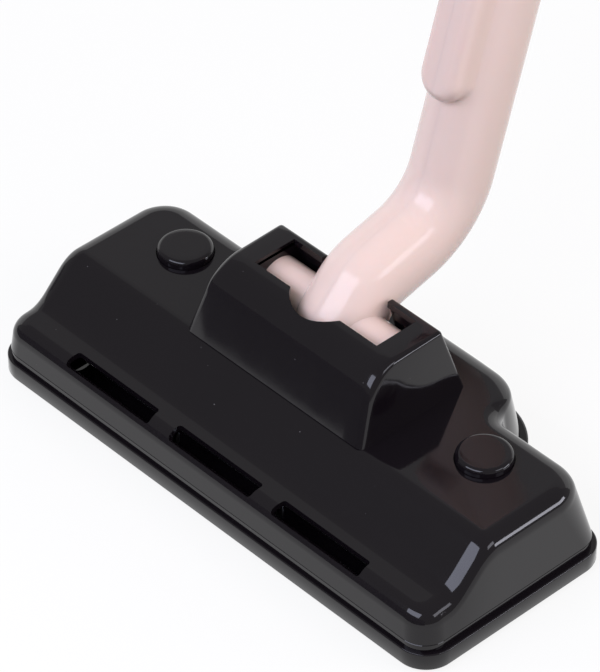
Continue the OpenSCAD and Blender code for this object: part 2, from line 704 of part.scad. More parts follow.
// Keepers: caps that plug the axle posts' open slots
module axle_keepers(x, y) color(black) in_frame() mirror_pair() translate([x, y, axle_z]) difference() {
    union() {
        block(-axle_post_w / 2, axle_post_w / 2, -axle_post_d / 2, axle_post_d / 2,
            axle_post_rise, axle_post_rise + keeper_t);
        block(-axle_post_w / 2, axle_post_w / 2, -axle_r, axle_r, 0, axle_post_rise);
    }
    rod_x(axle_r + run_gap, -axle_post_w, axle_post_w);
    block(-axle_post_w, axle_post_w, -axle_post_d, axle_post_d, -axle_r, axle_r / 2);
}
module front_axle_keepers() axle_keepers(front_post_x, -front_axle_y);
module rear_axle_keepers() axle_keepers(rear_axle_post_x, rear_axle_y);

// Half of the wand's wall, split along the plane x = 0, as half rings swept along the path:
// a rounded end on the tilt axis, the neck, a bend, the lower length, the elbow and the upper length.
// Each station gives the centres and radii of its outer and inner half ring and the path's angle there.
module along(p, angle) translate([0, p[0], p[1]]) rotate([angle - 90, 0, 0]) children();
bore_r = tube_r - tube_wall;
function station(p, angle) = [p, tube_r, p, bore_r, angle];
function bend_stations(p, angle, turn, radius, n) =
    let (way = sign(turn), centre = p + way * radius * toward(angle + 90))
    [for (k = [0:n]) let (a = angle + turn * k / n) station(centre - way * radius * toward(a + 90), a)];
stations = concat(
    [for (k = [1:dome_n - 1]) let (a = 90 - 90 * k / dome_n) [
        tilt_point - tube_r * sin(a) * toward(neck_angle), tube_r * cos(a),
        tilt_point - bore_r * sin(a) * toward(neck_angle), bore_r * cos(a), neck_angle]],
    [station(tilt_point, neck_angle)],
    bend_stations(neck_corner - neck_trim * toward(neck_angle), neck_angle, -neck_turn, neck_bend_r, neck_n),
    bend_stations(elbow_corner - elbow_trim * toward(lower_angle), lower_angle, elbow_turn, elbow_r, elbow_n),
    [station(wand_end, upper_angle)]
);
function arc_point(p, r, angle, share) =
    let (b = lerp(-90, 90, share), q = p + r * sin(b) * toward(angle + 90)) [r * cos(b), q[0], q[1]];
module wall_half(side) {
    n = 2 * half_n + 2;
    last = len(stations) - 1;
    points = concat(
        [for (s = stations) each concat(
            [for (k = [0:half_n]) arc_point(s[0], s[1], s[4], k / half_n)],
            [for (k = [half_n:-1:0]) arc_point(s[2], s[3], s[4], k / half_n)])],
        [for (r = [tube_r, bore_r]) let (p = tilt_point - r * toward(neck_angle)) [0, p[0], p[1]]]
    );
    tip = len(stations) * n;
    faces = concat(
        [for (k = [0:last - 1]) each strip(k, n)],
        [[for (q = [n - 1:-1:0]) last * n + q]],
        [for (q = [0:half_n - 1]) [q + 1, tip, q]],
        [for (q = [half_n + 1:n - 2]) [q + 1, tip + 1, q]],
        [[half_n, half_n + 1, tip + 1, tip], [n - 1, 0, tip, tip + 1]]
    );
    mirror([side < 0 ? 1 : 0, 0, 0]) polyhedron(points, [for (f = faces) [for (k = [len(f) - 1:-1:0]) f[k]]]);
}

// Half of the raised pad along the front of the upper length, round at both ends
module pad_half(side) along(upper_start, upper_angle) {
    half = pad_w / 2;
    front = tube_r + pad_rise;
    corner = half - pad_edge_r;
    stop = upper_run - pad_stop;
    difference() {
        intersection() {
            linear_extrude(upper_run) {
                translate([side * corner, pad_edge_r - front]) circle(pad_edge_r);
                translate([side < 0 ? -half : 0, pad_edge_r - front]) square([half, front - pad_edge_r]);
                translate([side < 0 ? -corner : 0, -front]) square([corner, front]);
            }
            rotate([90, 0, 0]) linear_extrude(front + overrun) intersection() {
                union() {
                    translate([0, pad_start + half]) circle(half);
                    translate([0, stop - half]) circle(half);
                    translate([-half, pad_start + half]) square([pad_w, stop - pad_start - pad_w]);
                }
                translate([side < 0 ? -half : 0, 0]) square([half, upper_run]);
            }
        }
        rod(tube_r - tube_wall / 2, -overrun, upper_run + overrun);
    }
}

module wand_half(side) difference() {
    union() {
        wall_half(side);
        pad_half(side);
        translate([0, tilt_y, tilt_z])
            rod_x(trunnion_r, side < 0 ? -trunnion_end_x : trunnion_root_x,
                side < 0 ? -trunnion_root_x : trunnion_end_x);
        for (p = wand_screw_places) translate([0, p[0], p[1]])
            rod_x(side < 0 ? wand_post_r : wand_tap_r,
                side < 0 ? tube_wall / 2 + wand_post_fill - tube_r : 0,
                side < 0 ? 0 : tube_r - tube_wall / 2 - wand_post_fill);
    }
    for (p = wand_screw_places) translate([0, p[0], p[1]]) {
        rod_x(wand_screw_r + run_gap, -tube_r, wand_screw_reach);
        rod_x(wand_head_r + slide_gap, -tube_r - overrun, -wand_head_x);
    }
}
module wand_left_half() color(pink) in_frame() wand_half(-1);
module wand_right_half() color(pink) in_frame() wand_half(1);

module wand_socket() color(pink) in_frame() along(upper_start, upper_angle) difference() {
    rod(socket_skin_r, upper_run - socket_len, upper_run);
    rod(socket_r, upper_run - socket_depth, upper_run + overrun);
    rod(socket_r - socket_stop / 2, upper_run - socket_len - overrun, upper_run);
}

module screw(r, head_r, head_h, reach) {
    rod(head_r, -head_h, 0);
    rod(r, 0, reach);
}
module base_screws() color(steel) in_frame() for (p = base_screw_places) mirror_pair()
    translate([p[0], p[1], screw_sink + screw_head_h])
        screw(screw_r, screw_head_r, screw_head_h, floor_t + base_screw_reach - seat_gap);
module housing_screws() color(steel) in_frame() mirror_pair() {
    translate([housing_post_x, housing_post_y, under_plateau])
        screw(screw_r, screw_head_r, screw_head_h, cover_wall + housing_screw_reach - seat_gap);
    translate([rib_x, saddle_foot_y, under_plateau])
        screw(screw_r, screw_head_r, screw_head_h, cover_wall + axis_rise + housing_screw_reach - seat_gap);
}
module wand_screws() color(steel) in_frame() for (p = wand_screw_places)
    translate([-wand_head_x, p[0], p[1]]) rotate([0, 90, 0])
        screw(wand_screw_r, wand_head_r, wand_head_h, wand_head_x + wand_screw_reach - seat_gap);

base_plate();
head_cover();
pivot_housing();
left_trunnion_saddle();
right_trunnion_saddle();
left_button();
right_button();
left_button_spring();
right_button_spring();
front_axle();
front_left_wheel();
front_right_wheel();
rear_axle();
rear_left_wheel();
rear_right_wheel();
front_axle_keepers();
rear_axle_keepers();
wand_left_half();
wand_right_half();
wand_socket();
base_screws();
housing_screws();
wand_screws();
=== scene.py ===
import bpy
import numpy as np
from mathutils import Matrix
from mathutils.geometry import tessellate_polygon


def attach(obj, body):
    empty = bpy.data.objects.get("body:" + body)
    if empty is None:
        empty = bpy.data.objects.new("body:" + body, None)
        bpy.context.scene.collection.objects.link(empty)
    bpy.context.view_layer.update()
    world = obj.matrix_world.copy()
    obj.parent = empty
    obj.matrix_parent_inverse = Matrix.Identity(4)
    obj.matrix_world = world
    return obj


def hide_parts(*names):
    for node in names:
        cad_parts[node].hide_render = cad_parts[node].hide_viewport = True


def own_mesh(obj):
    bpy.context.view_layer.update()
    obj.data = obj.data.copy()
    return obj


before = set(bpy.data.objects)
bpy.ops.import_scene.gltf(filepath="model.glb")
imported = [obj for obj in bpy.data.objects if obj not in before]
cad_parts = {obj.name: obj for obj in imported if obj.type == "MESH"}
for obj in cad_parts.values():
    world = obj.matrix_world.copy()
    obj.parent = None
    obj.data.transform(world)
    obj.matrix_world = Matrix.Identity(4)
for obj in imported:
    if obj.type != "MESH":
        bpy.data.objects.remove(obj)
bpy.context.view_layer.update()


# Base of the head.
# An injection-moulded tray of black ABS with a stepped flange all round, openings for four small wheels and
# six sunk screw holes. The cover sits on its rim, which leaves a fine line all round.

HEAD_ORIGIN = np.array([0.0, -36.13, 2.0])   # from the head's own middle and underside to the part's frame


def mesh_piece(name, points, faces, material, sharp=38.0):
    """A mesh object from points in the head's millimetres and a list of face arrays.

    It is smooth, but for its open edges and those that turn by more than the sharp angle.
    """
    mesh = bpy.data.meshes.new(name)
    where = (np.asarray(points, float) + HEAD_ORIGIN) * 0.001
    corners = [list(map(int, face)) for block in faces for face in block]
    mesh.from_pydata(where.tolist(), [], corners)
    mesh.validate()
    mesh.shade_smooth()
    mesh.set_sharp_from_angle(angle=np.radians(sharp))
    used = np.zeros(len(mesh.loops), int)
    mesh.loops.foreach_get("edge_index", used)
    crease = np.zeros(len(mesh.edges), bool)
    mesh.edges.foreach_get("use_edge_sharp", crease)
    crease |= np.bincount(used, minlength=len(crease)) == 1
    mesh.edges.foreach_set("use_edge_sharp", crease)
    piece = bpy.data.objects.new(name, mesh)
    bpy.context.scene.collection.objects.link(piece)
    piece.data.materials.append(material)
    return piece


def linear(code):
    """An sRGB hex colour as the linear numbers that a shader takes."""
    c = np.array([int(code[k:k + 2], 16) for k in (1, 3, 5)]) / 255.0
    c = np.where(c <= 0.04045, c / 12.92, ((c + 0.055) / 1.055) ** 2.4)
    return (*c.tolist(), 1.0)


def add(tree, kind, inputs=None, **settings):
    """A shader node with its settings, and its inputs by name: a socket is linked, anything else is set."""
    n = tree.nodes.new(kind)
    for key, value in settings.items():
        setattr(n, key, value)
    for key, value in (inputs or {}).items():
        if isinstance(value, bpy.types.NodeSocket):
            tree.links.new(value, n.inputs[key])
        else:
            n.inputs[key].default_value = value
    return n


def new_material(name):
    """A material with an empty node tree, and that tree."""
    material = bpy.data.materials.new(name)
    material.use_nodes = True
    material.node_tree.nodes.clear()
    return material, material.node_tree


def moulded_plastic(name, body, thin, dust, rough, wave_mm, wave_depth, dust_share, bleed=0.0):
    """Glossy moulded plastic: a slow change of shade, long waves from cooling, finer wear and specks of dust."""
    shade_mm, speck_mm, wear_mm = 55, 3.2, 9
    material, tree = new_material(name)
    place = add(tree, "ShaderNodeTexCoord").outputs["Object"]
    shade = add(tree, "ShaderNodeTexNoise", {"Vector": place, "Scale": 1000 / shade_mm, "Detail": 2.0})
    tint = add(tree, "ShaderNodeMix", {"Factor": shade.outputs["Fac"], "A": linear(body), "B": linear(thin)},
               data_type="RGBA")
    specks = add(tree, "ShaderNodeTexVoronoi", {"Vector": place, "Scale": 1000 / speck_mm})
    speck = add(tree, "ShaderNodeMapRange", {"Value": specks.outputs["Distance"], "From Min": 0.05,
                                             "From Max": 0.08, "To Min": 1.0, "To Max": 0.0})
    few = add(tree, "ShaderNodeMapRange", {"Value": specks.outputs["Color"], "From Min": 1 - dust_share,
                                           "From Max": 1.0, "To Min": 0.0, "To Max": 0.6})
    amount = add(tree, "ShaderNodeMath", {0: speck.outputs["Result"], 1: few.outputs["Result"]},
                 operation="MULTIPLY")
    colour = add(tree, "ShaderNodeMix", {"Factor": amount.outputs[0], "A": tint.outputs["Result"],
                                         "B": linear(dust)}, data_type="RGBA")
    wear = add(tree, "ShaderNodeTexNoise", {"Vector": place, "Scale": 1000 / wear_mm, "Detail": 6.0,
                                            "Roughness": 0.62})
    gloss = add(tree, "ShaderNodeMapRange", {"Value": wear.outputs["Fac"], "From Min": 0.3, "From Max": 0.75,
                                             "To Min": rough * 0.75, "To Max": rough * 1.35})
    wave = add(tree, "ShaderNodeTexNoise", {"Vector": place, "Scale": 1000 / wave_mm, "Detail": 1.0})
    bump = add(tree, "ShaderNodeBump", {"Height": wave.outputs["Fac"], "Strength": 1.0, "Distance": wave_depth})
    skin = add(tree, "ShaderNodeBsdfPrincipled", {"Base Color": colour.outputs["Result"],
               "Roughness": gloss.outputs["Result"], "IOR": 1.42, "Normal": bump.outputs["Normal"],
               "Subsurface Weight": bleed, "Subsurface Radius": (1.0, 0.45, 0.3), "Subsurface Scale": 0.006})
    add(tree, "ShaderNodeOutputMaterial", {"Surface": skin.outputs["BSDF"]})
    return material


# Black ABS off a polished mould: near-black body, sharp but slightly wavy reflections, a little dust and fine wear.
black_abs = moulded_plastic("black_abs", body="#100c10", thin="#141014", dust="#8d8a8c", rough=0.07, wave_mm=45,
                            wave_depth=0.000003, dust_share=0.17)


def inset(o, d):
    """The outline o with every side moved in by d: lengths and outer corners shrink, the two hollows grow."""
    return np.asarray(o, float) + d * np.array([-1, 1, -1, -1, -1, -1, -1, -1, 1])


def shoulder_turn(o):
    """Angle that the stem's shoulder and the hollow beside it both turn through, and where along x the hollow ends.

    The two arcs touch, so the angle's cosine is the depth between their centres over the sum of their radii.
    """
    _, _, rear, _, _, stem, back, rs, rh = o
    turn = np.arccos((rear + rh - (back - rs)) / (rs + rh))
    return turn, stem - rs + (rs + rh) * np.sin(turn)


def half_outline(o, stem_shares, arm_shares, bend=22, corner=22):
    """Rear and front lines of the head's right half, column by column.

    The rear line is the stem's flat back, its round shoulder, the hollow where it meets the arm, the arm's back
    and the end's corner; the front line has the same columns, straight up to its own corner.
    o is half length, front, rear, front corner, rear corner, half stem, stem's back, shoulder and hollow radii.
    """
    half, front, rear, rf, rr, stem, back, rs, rh = o
    turn, far = shoulder_turn(o)
    a = np.linspace(0, turn, bend)
    b = np.linspace(turn, 0, bend)[1:]
    c = np.linspace(0, np.pi / 2, corner)
    xa = np.asarray(stem_shares) * (stem - rs)
    xd = far + np.asarray(arm_shares) * (half - rr - far)
    x = np.concatenate([xa, stem - rs + rs * np.sin(a), far - rh * np.sin(b), xd])
    y = np.concatenate([0 * xa + back, back - rs + rs * np.cos(a), rear + rh * (1 - np.cos(b)), 0 * xd + rear])
    back_line = np.column_stack([np.append(x, half - rr + rr * np.sin(c)),
                                 np.append(y, rear - rr * (1 - np.cos(c)))])
    front_line = np.column_stack([np.append(x, half - rf + rf * np.sin(c)),
                                  np.append(0 * x + front, front + rf * (1 - np.cos(c)))])
    return back_line, front_line


def both_sides(line):
    """A right-half line with its mirror image before it, from the left end to the right."""
    return np.vstack([line[:0:-1] * [-1, 1], line])


def closed_ring(o, side_shares, stem_shares, arm_shares):
    """The outline o as one loop: the front from left to right, the right end, the back, and the left end."""
    rear, front = (both_sides(line) for line in half_outline(o, stem_shares, arm_shares))
    t = np.asarray(side_shares)[:, None]
    right = front[-1] + t * (rear[-1] - front[-1])
    return np.vstack([front, right, rear[::-1], right[::-1] * [-1, 1]])


def bands(first, count, loops):
    """Quads between successive closed loops of count points, numbered from first."""
    k = np.arange(count)
    a = first + np.arange(loops - 1)[:, None] * count + k
    b = first + np.arange(loops - 1)[:, None] * count + (k + 1) % count
    return np.stack([a, b, b + count, a + count], -1).reshape(-1, 4)


# Outlines, with the nine values in half_outline's order: the flange, and the cover's foot on it.
FLANGE = np.array([105, -42, 42, 11, 11, 59.5, 66, 28, 4])
COVER_FOOT = np.array([103.2, -40.8, 40.2, 9.2, 9.2, 57.7, 62.8, 26.2, 5.8])
FLANGE_Z, FLANGE_EDGE, FLANGE_ROUND, FLOOR_EDGE = 6.8, 0.6, 0.35, 0.8
SEAT_Z, SEAM, SEAM_CUT = 9.8, 0.18, 0.17
RIM_T, FLOOR_T = 2.0, 2.4
WHEEL_PLACES, WHEEL_HALF = ((84, -21), (34, 46)), (4.2, 9.2)
SCREW_PLACES, SCREW_HOLE_R = ((71.8, -1.65), (25.2, -30.5), (47.9, 36.2)), 3.0

few = np.linspace(0, 1, 7)
turn = np.linspace(0, np.pi / 2, 7)
levels = [(inset(FLANGE, FLOOR_EDGE), 0.0), (inset(FLANGE, 0.25), 0.25), (FLANGE, FLOOR_EDGE)]
levels += [(FLANGE + FLANGE_ROUND * (1 - np.cos(t)) * (COVER_FOOT - FLANGE),
            FLANGE_Z - FLANGE_EDGE * (1 - np.sin(t))) for t in turn]
levels += [(COVER_FOOT, FLANGE_Z), (COVER_FOOT, FLANGE_Z + 0.2), (COVER_FOOT, SEAT_Z - SEAM - SEAM_CUT),
           (inset(COVER_FOOT, SEAM), SEAT_Z - SEAM), (inset(COVER_FOOT, RIM_T), SEAT_Z - SEAM)]
loops = [closed_ring(o, few[1:-1], few[:-1], few[1:-1]) for o, z in levels]
count = len(loops[0])
skin = np.vstack([np.column_stack([loop, np.full(count, z)]) for loop, (o, z) in zip(loops, levels)])


def block_loop(x, y, hx, hy):
    """The four corners of a block of half sizes hx and hy, counter-clockwise."""
    return np.array([[x - hx, y - hy], [x + hx, y - hy], [x + hx, y + hy], [x - hx, y + hy]])


def round_loop(x, y, r, n=28):
    """A circle of radius r as n points, counter-clockwise."""
    t = np.arange(n) * 2 * np.pi / n
    return np.column_stack([x + r * np.cos(t), y + r * np.sin(t)])


holes = [block_loop(s * x, y, *WHEEL_HALF) for x, y in WHEEL_PLACES for s in (-1, 1)]
holes += [round_loop(s * x, y, SCREW_HOLE_R) for x, y in SCREW_PLACES for s in (-1, 1)]
flat = [np.column_stack([h, np.zeros(len(h))]) for h in [loops[0]] + holes]
under = np.array(tessellate_polygon([f.tolist() for f in flat]))
floor_points = np.vstack(flat)
start = len(skin) + len(floor_points)
walls, wall_points = [], []
for h in holes:
    n = len(h)
    wall_points.append(np.vstack([np.column_stack([h, np.zeros(n)]), np.column_stack([h, np.full(n, FLOOR_T)])]))
    walls.append(bands(start, n, 2)[:, ::-1])
    start += 2 * n
faces_up = np.cross(floor_points[under[:, 1]] - floor_points[under[:, 0]],
                    floor_points[under[:, 2]] - floor_points[under[:, 0]])[:, 2] > 0
under[faces_up] = under[faces_up][:, ::-1]
base = mesh_piece("base_tray", np.vstack([skin, floor_points] + wall_points),
                  [bands(0, count, len(levels)), under + len(skin)] + walls, black_abs)
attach(base, "head")
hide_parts("base_plate")


# Cover of the head.
# One moulding of black ABS, 2.2 mm thick: a low front shelf with three long slots, a slope, and a plateau that
# runs back over the stem. Two round holes let the foot buttons through. Screws from the base hold it.

# Outlines where the cover's wall ends and its rounding starts, and where the rounding meets the top.
COVER_CROWN = np.array([102.3, -40.4, 35.4, 9.2, 14, 57.3, 52.4, 16, 8])
COVER_TOP = np.array([95.3, -34.4, 27.8, 3.2, 7.0, 54.3, 44.8, 11.8, 9.5])
COVER_WALL, COVER_EDGE, SEAT_GAP = 2.2, 0.35, 0.02
SHELF_RISE, SLOPE_FOOT_Y, SLOPE_FOOT_Z = 1.3 / 15, -25.4, 22.6
CREST_Y, PLATEAU_Z, BLEND = -11.4, 37.0, 4.0
BUTTON_X, BUTTON_Y = 71.8, 16.2
HOLE_R, FIELD_HALF, FIELD_FROM_X = 10.05, 10.8, 61.3     # a button's hole, and the square of the top around it
SLOT_FRONT, SLOT_REAR, SLOT_R = -39.0, -32.8, 1.2
MIDDLE_SLOT, OUTER_FROM, OUTER_TO = 20.25, 30.15, 70.65   # ends of the three slots on either side of the middle
WAND_HOLE_HALF, WAND_HOLE_REAR = 14.2, 27.3


def top_height(y):
    """Height of the cover's top over its depth: shelf, slope and plateau, joined by two short parabolas."""
    slope = (PLATEAU_Z - SLOPE_FOOT_Z) / (CREST_Y - SLOPE_FOOT_Y)
    past_foot, past_crest = y - SLOPE_FOOT_Y, y - CREST_Y
    straight = SLOPE_FOOT_Z + SHELF_RISE * np.minimum(past_foot, 0) + slope * np.maximum(past_foot, 0)
    straight = np.where(past_crest > 0, PLATEAU_Z, straight)
    s, c = (np.clip(past / BLEND, -1, 1) for past in (past_foot, past_crest))
    foot = SLOPE_FOOT_Z + BLEND * (SHELF_RISE * s + (slope - SHELF_RISE) * (s + 1) ** 2 / 4)
    crest = PLATEAU_Z + BLEND * slope * (c - (c + 1) ** 2 / 4)
    return np.where(abs(past_foot) < BLEND, foot, np.where(abs(past_crest) < BLEND, crest, straight))


# Columns and rows of the top pass through the ends of the slots, the holes and the slope. In front of LEAD_Y the
# rows run into the front edge, and behind FIELD_TO into the rear edge.
TOP_HALF_X, TOP_FRONT, TOP_REAR = COVER_TOP[:3]
LEAD_Y, FIELD_FROM, FIELD_TO = -30.4, BUTTON_Y - FIELD_HALF, BUTTON_Y + FIELD_HALF
stem_marks = np.array([0, 5, 10, WAND_HOLE_HALF, 17.0, MIDDLE_SLOT - SLOT_R, MIDDLE_SLOT, 25.2, OUTER_FROM,
                       OUTER_FROM + SLOT_R, 36.0])
arm_marks = np.array([65.6, 67.6, OUTER_TO - SLOT_R, OUTER_TO, 73.4, 76.4, 79.5, BUTTON_X + FIELD_HALF])
far_top = shoulder_turn(COVER_TOP)[1]
stem_shares = stem_marks / (COVER_TOP[5] - COVER_TOP[7])
arm_shares = (arm_marks - far_top) / (TOP_HALF_X - COVER_TOP[4] - far_top)
ramp = np.linspace(-BLEND, BLEND, 25)
rows = np.concatenate([[TOP_FRONT, SLOT_REAR - SLOT_R, SLOT_REAR, -31.6, LEAD_Y], SLOPE_FOOT_Y + ramp, [-19.4, -17.4],
                       CREST_Y + ramp, [-5, 0], np.linspace(FIELD_FROM, FIELD_TO, 8), [27.25, 27.4, 27.6, TOP_REAR]])
rear, front = (both_sides(line) for line in half_outline(COVER_TOP, stem_shares, arm_shares))
row_y = rows[:, None]
lead = LEAD_Y + (row_y - LEAD_Y) / (LEAD_Y - TOP_FRONT) * (LEAD_Y - front[:, 1])
past_field = (row_y - FIELD_TO) / (TOP_REAR - FIELD_TO)
stem_rows = np.where(row_y <= FIELD_TO, row_y, FIELD_TO + past_field * (rear[:, 1] - FIELD_TO))
end_rows = np.where(row_y > 0, row_y * rear[:, 1] / TOP_REAR, row_y)
grid_y = np.where(row_y < LEAD_Y, lead, np.where(rear[:, 1] >= TOP_REAR - 0.001, stem_rows, end_rows))
share = (grid_y - front[:, 1]) / (rear[:, 1] - front[:, 1])
grid_x = front[:, 0] + share * (rear[:, 0] - front[:, 0])
grid = np.stack([grid_x, grid_y, top_height(grid_y)], -1)
n_rows, n_cols = grid_x.shape
side_shares = share[1:-1, -1]


def clear_of(p, loop):
    """Distance from each point of p to the nearest place on a closed loop."""
    along = np.roll(loop, -1, axis=0) - loop
    off = p[:, None] - loop
    s = np.clip((off * along).sum(-1) / (along ** 2).sum(-1), 0, 1)
    return np.linalg.norm(off - s[..., None] * along, axis=-1).min(axis=1)


def fillet_levels(f, c, t, shares):
    """Rings of the cover's wall and the rounding above it, from the outlines of foot, crown and top.

    Each ring lies between top and crown by its share, which is the cosine of the rounding's angle there. The wall
    leans from the foot to the crown, so the rounding starts at that lean and ends level, with each point under the
    top's own height there.
    """
    high = top_height(t[:, 1])
    reach = clear_of(t, c)
    lean = np.arctan2(clear_of(c, f), high - SEAT_Z - reach)
    rings = [np.column_stack([f, np.full(len(f), SEAT_Z)])]
    for k in shares:
        z = high - reach / np.cos(lean) * (1 - np.sqrt(1 - (k * np.cos(lean)) ** 2))
        rings.append(np.column_stack([t + k * (c - t), z]))
    return rings


slot_share, corner_share = (np.array([SLOT_FRONT, SLOT_FRONT + SLOT_R]) - TOP_FRONT) / (COVER_CROWN[1] - TOP_FRONT)
ring_shares = [1, 0.995, 0.98, 0.955, 0.92, 0.88, 0.84, slot_share, 0.7, 0.63, corner_share, 0.48, 0.39, 0.29, 0.19,
               0.09]
outlines = [closed_ring(o, side_shares, stem_shares, arm_shares) for o in (COVER_FOOT, COVER_CROWN, COVER_TOP)]
foot_ring, *upper_rings = fillet_levels(*outlines, ring_shares)
seat = foot_ring + [0, 0, SEAT_GAP]
lower_rings = [seat] + [seat + t * (upper_rings[0] - seat) for t in (0.04, 0.5, 0.96)]
rings = lower_rings + upper_rings
n_ring = len(rings[0])
slot_ring, corner_ring = (len(lower_rings) + ring_shares.index(k) for k in (slot_share, corner_share))
index = np.arange(n_rows * n_cols).reshape(n_rows, n_cols) + n_ring * len(rings)
edge = np.concatenate([index[0], index[1:-1, -1], index[-1, ::-1], index[-2:0:-1, 0]])
last = np.arange(n_ring) + n_ring * (len(rings) - 1)
join = np.stack([last, np.roll(last, -1), np.roll(edge, -1), edge], -1)
mid_x = np.abs(0.25 * (grid_x[1:, 1:] + grid_x[:-1, 1:] + grid_x[1:, :-1] + grid_x[:-1, :-1]))
mid_row = 0.5 * (rows[1:] + rows[:-1])[:, None]
over_slot = (mid_x[0] < MIDDLE_SLOT) | ((mid_x[0] > OUTER_FROM) & (mid_x[0] < OUTER_TO))
open_cells = over_slot & (mid_row < SLOT_REAR)
open_cells |= (mid_x < WAND_HOLE_HALF) & (mid_row > FIELD_FROM) & (mid_row < WAND_HOLE_REAR)
field_left = rear[rear[:, 0] < FIELD_FROM_X, 0].max()
button_cells = (mid_x > field_left) & (mid_x < BUTTON_X + FIELD_HALF) & (mid_row > FIELD_FROM) & (mid_row < FIELD_TO)
open_cells |= button_cells
cells = np.stack([index[:-1, :-1], index[:-1, 1:], index[1:, 1:], index[1:, :-1]], -1)[~open_cells]
points = np.vstack(rings + [grid.reshape(-1, 3)])
wall = bands(0, n_ring, len(rings)).reshape(len(rings) - 1, n_ring, 4)
walled = np.ones(wall.shape[:2], bool)
walled[slot_ring:, :n_cols - 1] = ~over_slot
joined = np.ones(n_ring, bool)
joined[:n_cols - 1] = ~over_slot
faces = [wall[walled], join[joined], cells]
for side in (-1, 1):
    # Each button's hole: rings that turn the opening's square edge into a circle
    used = np.argwhere(button_cells & (np.sign(0.5 * (grid_x[:-1, 1:] + grid_x[:-1, :-1])) == side))
    (r0, c0), (r1, c1) = used.min(0), used.max(0) + 1
    square = np.concatenate([index[r0, c0:c1], index[r0:r1, c1], index[r1, c1:c0:-1], index[r1:r0:-1, c0]])
    out = points[square, :2] - [side * BUTTON_X, BUTTON_Y]
    circle = HOLE_R * out / np.linalg.norm(out, axis=1)[:, None]
    steps = [np.column_stack([out + t * (circle - out), 0 * out[:, 0]]) + [side * BUTTON_X, BUTTON_Y, PLATEAU_Z]
             for t in (0.5, 1.0)]
    first = len(points)
    points = np.vstack([points] + steps)
    m = len(square)
    faces += [np.stack([square, np.roll(square, -1), first + (np.arange(m) + 1) % m, first + np.arange(m)], -1),
              bands(first, m, 2)]


def column_of(x):
    """Number of the column that meets the front edge nearest to x."""
    return int(np.argmin(abs(front[:, 0] - x)))


# Round corners of the slots: one flat face from the corner to a quarter circle
front_y, front_z = (np.array([ring[n_cols // 2, k] for ring in rings[slot_ring:]]) for k in (1, 2))
down_y = np.append(front_y, rows)
down_z = np.append(front_z, top_height(rows))
down_x = np.vstack([np.array([ring[:n_cols, 0] for ring in rings[slot_ring:]]), grid_x])
rear_row, corner_row = (int(np.argmin(abs(rows - v))) for v in (SLOT_REAR, SLOT_REAR - SLOT_R))
arc = np.radians(np.linspace(0, 90, 7))[1:-1]
for end, inside in ((-OUTER_TO, 1), (-OUTER_FROM, -1), (-MIDDLE_SLOT, 1), (MIDDLE_SLOT, -1), (OUTER_FROM, 1),
                    (OUTER_TO, -1)):
    at, by = column_of(end), column_of(end + inside * SLOT_R)
    for edge_y, way in ((SLOT_FRONT, 1), (SLOT_REAR, -1)):
        y = edge_y + way * SLOT_R * (1 - np.sin(arc))
        x_at, x_by, z = (np.interp(y, down_y, v) for v in (down_x[:, at], down_x[:, by], down_z))
        x = x_at + (x_by - x_at) * (1 - np.cos(arc))
        new = len(points) + np.arange(len(arc))
        points = np.vstack([points, np.column_stack([x, y, z])])
        if way > 0:
            side_line = np.arange(slot_ring, corner_ring + 1) * n_ring + at
            far_point = slot_ring * n_ring + by
        else:
            side_line = index[[rear_row, corner_row], at]
            far_point = index[rear_row, by]
        loop = np.concatenate([side_line, new, [far_point]])
        faces.append([loop if inside * way < 0 else loop[::-1]])


def give_wall(piece, wall_mm, edge_mm):
    """A skin made into a shell of even thickness, grown inwards, with its sharp edges rounded."""
    shell = piece.modifiers.new("wall", "SOLIDIFY")
    shell.thickness = wall_mm * 0.001
    shell.offset = -1
    soft = piece.modifiers.new("soft_edges", "BEVEL")
    soft.width = edge_mm * 0.001
    soft.segments = 3
    soft.limit_method = "ANGLE"
    soft.angle_limit = np.radians(55)
    soft.harden_normals = True


cover = mesh_piece("head_cover_shell", points, faces, black_abs, 60)
give_wall(cover, COVER_WALL, COVER_EDGE)
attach(cover, "head")
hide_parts("head_cover")


# Pivot housing.
# A separate black ABS hood over the wand's pivot, with an open pocket, a round notch at the front of it and a
# gate in the rear wall. Two ribs inside hold the trunnions from above; screws and hooks hold it on the plateau.

FOOT_HALF, TOP_HALF, TOP_Z = 42.4, 38.3, 62.2
FRONT_FOOT_Y, BACK_FOOT_Y = -10.5, 36.4
NOSE, NOSE_R, NOSE_START, NOSE_ANGLE = np.array([9.2, 47.2]), 15.0, (-4.89, 52.35), 159.9
REAR_EDGE_Y, REAR_EDGE_R = 29.4, 1.6
POCKET_HALF, POCKET_FRONT, POCKET_REAR = 29.0, 9.0, 27.0
NOTCH_HALF, NOTCH_R, NOTCH_Y = 11.76, 14.0, 16.6
GATE_R, GATE_Z, GATE_FROM_Y = 15.5, 51.2, 29.0
END_R = (3.2, 3.0, 2.0, 1.4, 1.4)    # rounding of the ends: front foot, nose, pocket's front and rear, rear foot
HOOD_WALL, HOOD_EDGE = 2.4, 0.5
TILT_Y, TILT_Z, BEARING_R, RIB_END = 19.5, 48.8, 9.05, 36.0


